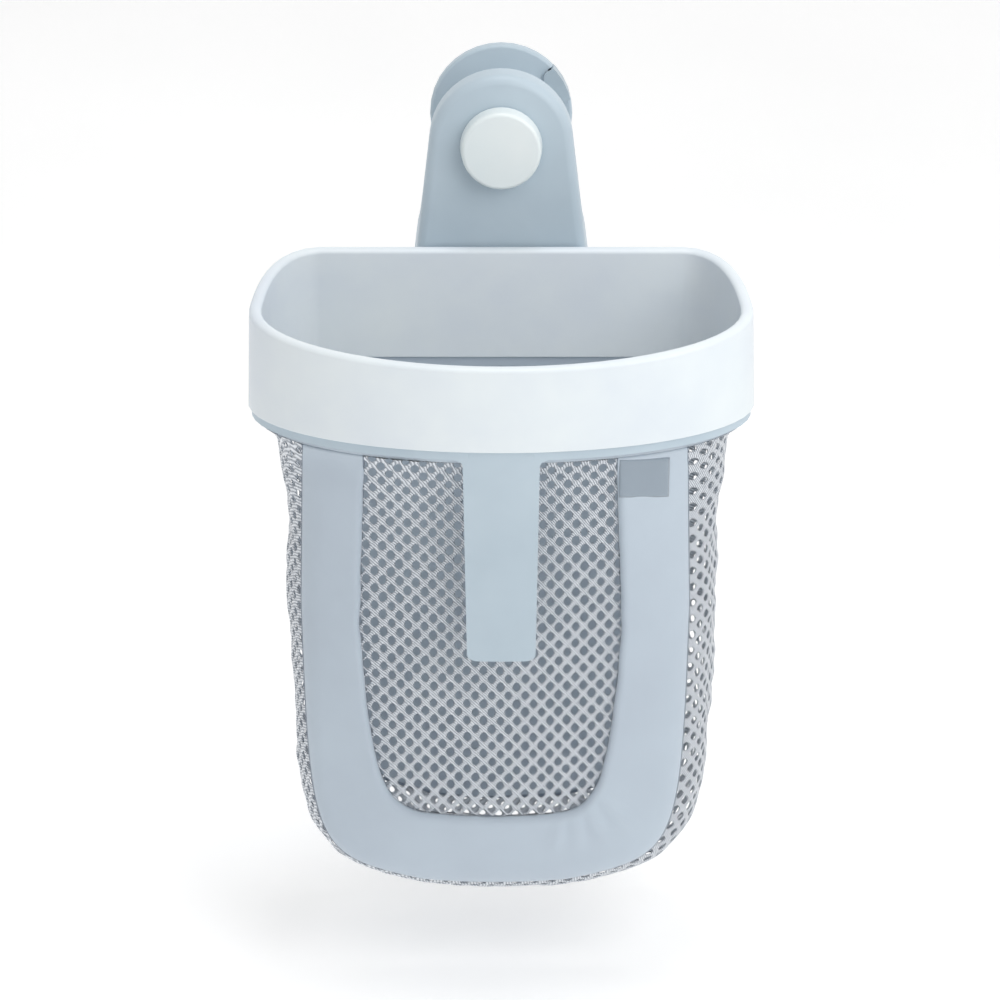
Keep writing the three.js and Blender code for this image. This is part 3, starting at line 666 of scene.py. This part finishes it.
# The net is laid out somewhat longer than the seam, because the gusset swells out from it.
GUSSET_LENGTH = FRONT_SEAM.length * 1.06
GUSSET_DEPTH = 0.104
GUSSET_END_FADE = 0.06
GUSSET_WAVE, GUSSET_CRUMPLE = 0.0030, 0.0024


def gusset_net(material):
    """The gusset's net: u runs from the back seam to the front one and v along the seam."""

    def inside(u, v):
        wide, high = CELL_WIDE / 3, CELL_HIGH / 3
        return -wide < u < GUSSET_DEPTH + wide and -high < v < GUSSET_LENGTH + high

    def place(u, v, lift):
        s = min(max(v / GUSSET_LENGTH, 0), 1)
        w = min(max(1 - u / GUSSET_DEPTH, 0), 1)
        spot = gusset_point(s, w)
        outward = FRONT_SEAM.outward(s)
        edge = math.sin(math.pi * w) * smooth(min(s, 1 - s) / GUSSET_END_FADE)
        sway = wander(s * 11, w * 2.5, 9.0) * GUSSET_WAVE * edge
        sway += wander(s * 60, w * 9, 2.0) * GUSSET_CRUMPLE * edge
        return spot + Vector((outward.x, 0, outward.y)) * (lift + sway)

    size = GUSSET_DEPTH, GUSSET_LENGTH
    return net("gusset_net", *size, inside, place, material, GUSSET_HOLE_SHARE)


BACK_STEPS, BACK_COLUMNS = 60, 24
BACK_LAST_SHARE = 0.496
BACK_SWAY = 0.0018


def back_surface(x, z):
    """The back panel lies in one plane, behind every x and z."""
    return BACK_Y


def back_rows():
    """Rows across the back panel, from the bag's top down to just above its lowest point."""
    rows = []
    for i in range(1, BACK_STEPS):
        s = 0.5 * i / BACK_STEPS if i < BACK_STEPS - 1 else BACK_LAST_SHARE
        a, b = BACK_SEAM.at(s if i > 1 else 0), BACK_SEAM.at(1 - s if i > 1 else 1)
        row = []
        for j in range(BACK_COLUMNS + 1):
            spot = a.lerp(b, j / BACK_COLUMNS)
            edge = math.sin(math.pi * j / BACK_COLUMNS)
            sway = wander(spot.x * 18, spot.y * 12, 12.0) * BACK_SWAY * edge
            row.append((spot.x, BACK_Y + sway, spot.y))
        rows.append(row)
    return rows


TAPE_STEPS, TAPE_COLUMNS = 300, 8
STITCH_RIPPLE, STITCH_TURN = 0.00008, 1.3

# Each binding's seam, the surface it lies on, its width and how far it bows on each side.
BINDINGS = {
    "window_binding": (WINDOW_SEAM, front_y, 0.0012, 0.0006),
    "front_binding": (FRONT_SEAM, front_y, 0.0014, 0.0007),
    "back_binding": (BACK_SEAM, back_surface, 0.0024, 0.0009),
}


def tape(name, seam, surface, width, bow, material):
    """A folded binding along a seam: a rounded strip with a fine ripple from its stitches."""
    rows = []
    for i in range(TAPE_STEPS + 1):
        s = i / TAPE_STEPS
        ripple = STITCH_RIPPLE * math.sin(s * TAPE_STEPS * STITCH_TURN)
        row = []
        for j in range(TAPE_COLUMNS + 1):
            v = j / TAPE_COLUMNS
            spot = seam.offset(s, width * (v - 0.5))
            lift = bow * math.sin(math.pi * v) + ripple
            row.append((spot.x, surface(spot.x, spot.y) - lift, spot.y))
        for j in range(TAPE_COLUMNS - 1, 0, -1):
            v = j / TAPE_COLUMNS
            spot = seam.offset(s, width * (v - 0.5))
            row.append((spot.x, surface(spot.x, spot.y) + bow * math.sin(math.pi * v), spot.y))
        rows.append(row)
    count = len(rows[0])
    vertices = [p for row in rows for p in row]
    faces = []
    for i in range(TAPE_STEPS):
        for j in range(count):
            a, b = i * count + j, i * count + (j + 1) % count
            faces.append((a, b, b + count, a + count))
    faces.append(tuple(reversed(range(count))))
    faces.append(tuple(range(TAPE_STEPS * count, TAPE_STEPS * count + count)))
    obj = new_object(name, vertices, faces, material)
    outward_faces(obj)
    return obj


HEM_STEPS, HEM_SPANS = 320, 6
HEM_TOP, HEM_BOTTOM = 0.0092, BAG_TOP + 0.0002
HEM_THICK = 0.0007


def hem_rows():
    """The hem's upright rows, all the way round inside the ring."""
    rows = []
    for i in range(HEM_STEPS):
        spot = rim_point(OUTLINE_POINTS // HEM_STEPS * i, HEM_MID)
        heights = [mix(HEM_TOP, HEM_BOTTOM, k / HEM_SPANS) for k in range(HEM_SPANS + 1)]
        rows.append([(spot.x, spot.y, z) for z in heights])
    return rows


# Blank label with a heat-cut edge, sewn beside the window.
LABEL_WIDE = 0.0225
LABEL_HIGH = 0.020
LABEL_SLANT = 0.0029
LABEL_RAISE = 0.0010
LABEL_THICK = 0.0005
LABEL_ROWS, LABEL_COLUMNS = 18, 22
LABEL_EDGE_DROPS = (0.0005, 0.0001)
LABEL_WAVE = 0.0004
LABEL_LEFT = WINDOW_SHIFT + WINDOW_HALF + 0.0011
LABEL_TOP = BAG_TOP - 0.0010


def label_rows():
    rows = []
    for i in range(LABEL_ROWS + 1):
        row = []
        for j in range(LABEL_COLUMNS + 1):
            x = LABEL_LEFT + LABEL_WIDE * j / LABEL_COLUMNS
            z = LABEL_TOP - LABEL_HIGH * i / LABEL_ROWS - LABEL_SLANT * j / LABEL_COLUMNS
            edge = min(j, LABEL_COLUMNS - j, i, LABEL_ROWS - i)
            drop = LABEL_EDGE_DROPS[edge] if edge < len(LABEL_EDGE_DROPS) else 0
            lift = border_puff(z) + LABEL_RAISE - drop
            lift += wander(x * 70, z * 60, 8.0) * LABEL_WAVE
            row.append((x, front_y(x, z) - lift, z))
        rows.append(row)
    return rows


# Rigid CAD nodes: clean shading, a small edge radius and their moulded or rubber look.
EDGE_RADIUS = {
    "scoop_rim": 0.0005,
    "handle_ring": 0.0009,
    "hanger_arm": 0.0004,
    "lock_knob": 0.0004,
    "pressure_dish": 0.0004,
    "suction_cup": 0.0003,
}
WELD_DISTANCE = 0.000005
FLAT_DEGREES = 0.6
EDGE_DEGREES = 35


def dress(node, material, radius):
    """Give a CAD node its look, clean shading and, if the radius isn't 0, softened edges."""
    obj = frame["nodes"][node]
    obj.data.materials.clear()
    obj.data.materials.append(material)
    obj.data.polygons.foreach_set("use_smooth", [True] * len(obj.data.polygons))
    weld = obj.modifiers.new("weld", "WELD")
    weld.merge_threshold = WELD_DISTANCE
    flat = obj.modifiers.new("flat", "DECIMATE")
    flat.decimate_type = "DISSOLVE"
    flat.angle_limit = math.radians(FLAT_DEGREES)
    if radius:
        edge = obj.modifiers.new("edge", "BEVEL")
        edge.width = radius
        edge.segments = 2
        edge.limit_method = "ANGLE"
        edge.angle_limit = math.radians(EDGE_DEGREES)
        edge.miter_outer = "MITER_ARC"
    obj.modifiers.new("normals", "WEIGHTED_NORMAL").keep_sharp = False


# Floor and light. The floor glows slightly so that it stays white under the soft lights.
FLOOR_Z = -0.378
FLOOR_SIZE = 6.0
FLOOR_GLOW = 0.21
BEND_START, BEND_RADIUS, BEND_STEPS = 1.2, 1.0, 12
WORLD_STRENGTH = 0.56
LIGHT_TARGET = (0, -0.1, -0.15)


def make_stage():
    """A white floor that bends up into a wall far behind the object."""
    look = Look("floor", 0.9, Emission_Color=(1, 1, 1, 1), Emission_Strength=FLOOR_GLOW)
    look.colour(look.noise(3, 2), "fbfbfb", "ffffff")
    mesh = bpy.data.meshes.new("floor")
    bend = [(-FLOOR_SIZE, FLOOR_Z), (BEND_START, FLOOR_Z)]
    for i in range(1, BEND_STEPS + 1):
        angle = math.pi / 2 * i / BEND_STEPS
        out, up = math.sin(angle), 1 - math.cos(angle)
        bend.append((BEND_START + BEND_RADIUS * out, FLOOR_Z + BEND_RADIUS * up))
    bend.append((BEND_START + BEND_RADIUS, FLOOR_Z + FLOOR_SIZE))
    vertices = [(side * FLOOR_SIZE, y, z) for y, z in bend for side in (-1, 1)]
    faces = [(2 * i, 2 * i + 1, 2 * i + 3, 2 * i + 2) for i in range(len(bend) - 1)]
    mesh.from_pydata(vertices, [], faces)
    mesh.polygons.foreach_set("use_smooth", [True] * len(mesh.polygons))
    mesh.materials.append(look.material)
    floor = bpy.data.objects.new("floor", mesh)
    bpy.context.scene.collection.objects.link(floor)


def area_light(name, place, size, power, target=LIGHT_TARGET):
    data = bpy.data.lights.new(name, "AREA")
    data.shape = "DISK"
    data.size = size
    data.energy = power
    light = bpy.data.objects.new(name, data)
    light.location = place
    direction = Vector(target) - Vector(place)
    light.rotation_mode = "QUATERNION"
    light.rotation_quaternion = direction.to_track_quat("-Z", "Y")
    bpy.context.scene.collection.objects.link(light)


def make_light():
    bpy.context.scene.view_settings.view_transform = "Standard"
    world = bpy.data.worlds.new("world")
    bpy.context.scene.world = world
    world.use_nodes = True
    background = world.node_tree.nodes["Background"]
    background.inputs["Color"].default_value = (1, 1, 1, 1)
    background.inputs["Strength"].default_value = WORLD_STRENGTH
    area_light("key", (1.2, -1.6, 0.8), 1.4, 2.1)
    area_light("front", (0.1, -2.0, -0.2), 0.9, 1.0)
    area_light("top", (0.05, -0.15, 1.5), 0.5, 6.2)
    area_light("near", (0.4, -0.5, 0.36), 0.6, 1.75, (0, -0.05, -0.02))


# Build.
make_camera()
looks = {name: make(name, *values) for name, (make, *values) in LOOKS.items()}
slots = {row["node"]: row["material_slot"] for row in frame["record"]["subparts"]}
for node, slot_name in slots.items():
    dress(node, looks[slot_name], EDGE_RADIUS.get(node, 0))

soft = {}


def panel(name, rows, thickness, slot):
    soft[name] = cloth_sheet(name, rows, thickness, looks[slot])


panel("border_cloth", border_rows(), CLOTH, "border_fabric")
soft["window_net"] = window_net(looks["mesh_fabric"])
soft["gusset_net"] = gusset_net(looks["mesh_fabric"])
panel("back_cloth", back_rows(), CLOTH, "border_fabric")
soft["hem_cloth"] = new_object(
    "hem_cloth",
    [p for row in hem_rows() for p in row],
    strip_faces(HEM_STEPS, HEM_SPANS + 1, closed=True),
    looks["border_fabric"],
)
thicken(soft["hem_cloth"], HEM_THICK)
for name, values in BINDINGS.items():
    soft[name] = tape(name, *values, looks["tape_fabric"])
panel("label_cloth", label_rows(), LABEL_THICK, "label_fabric")

REPLACED = {
    "border_cloth": "bag_border",
    "window_net": "bag_window",
    "gusset_net": "bag_gusset",
    "back_cloth": "bag_back_panel",
    "hem_cloth": "bag_top_hem",
    "window_binding": "window_seam_tape",
    "front_binding": "front_seam_tape",
    "back_binding": "back_seam_tape",
    "label_cloth": "side_label",
}
for name, piece in soft.items():
    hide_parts(REPLACED[name])
    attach(piece, "scoop")

# Cut sizes of the bag's cloth and net, from the lengths of the seams and the panels between them.
SHEETS = {
    "border_cloth": ((0.177, 0.226), 0.0181, "hung", ("window_binding", "front_binding")),
    "window_net": ((0.120, 0.186), 0.0214, "hung", ()),
    "gusset_net": ((0.121, 0.609), 0.0564, "hung", ()),
    "back_cloth": ((0.171, 0.222), 0.0357, "hung", ("back_binding",)),
    "hem_cloth": ((0.0158, 0.582), None, "stretched", ()),
    "label_cloth": ((0.0225, 0.020), None, "hung", ()),
}
for name, (flat, area, held, trims) in SHEETS.items():
    [soft[trim] for trim in trims]

make_stage()
make_light()
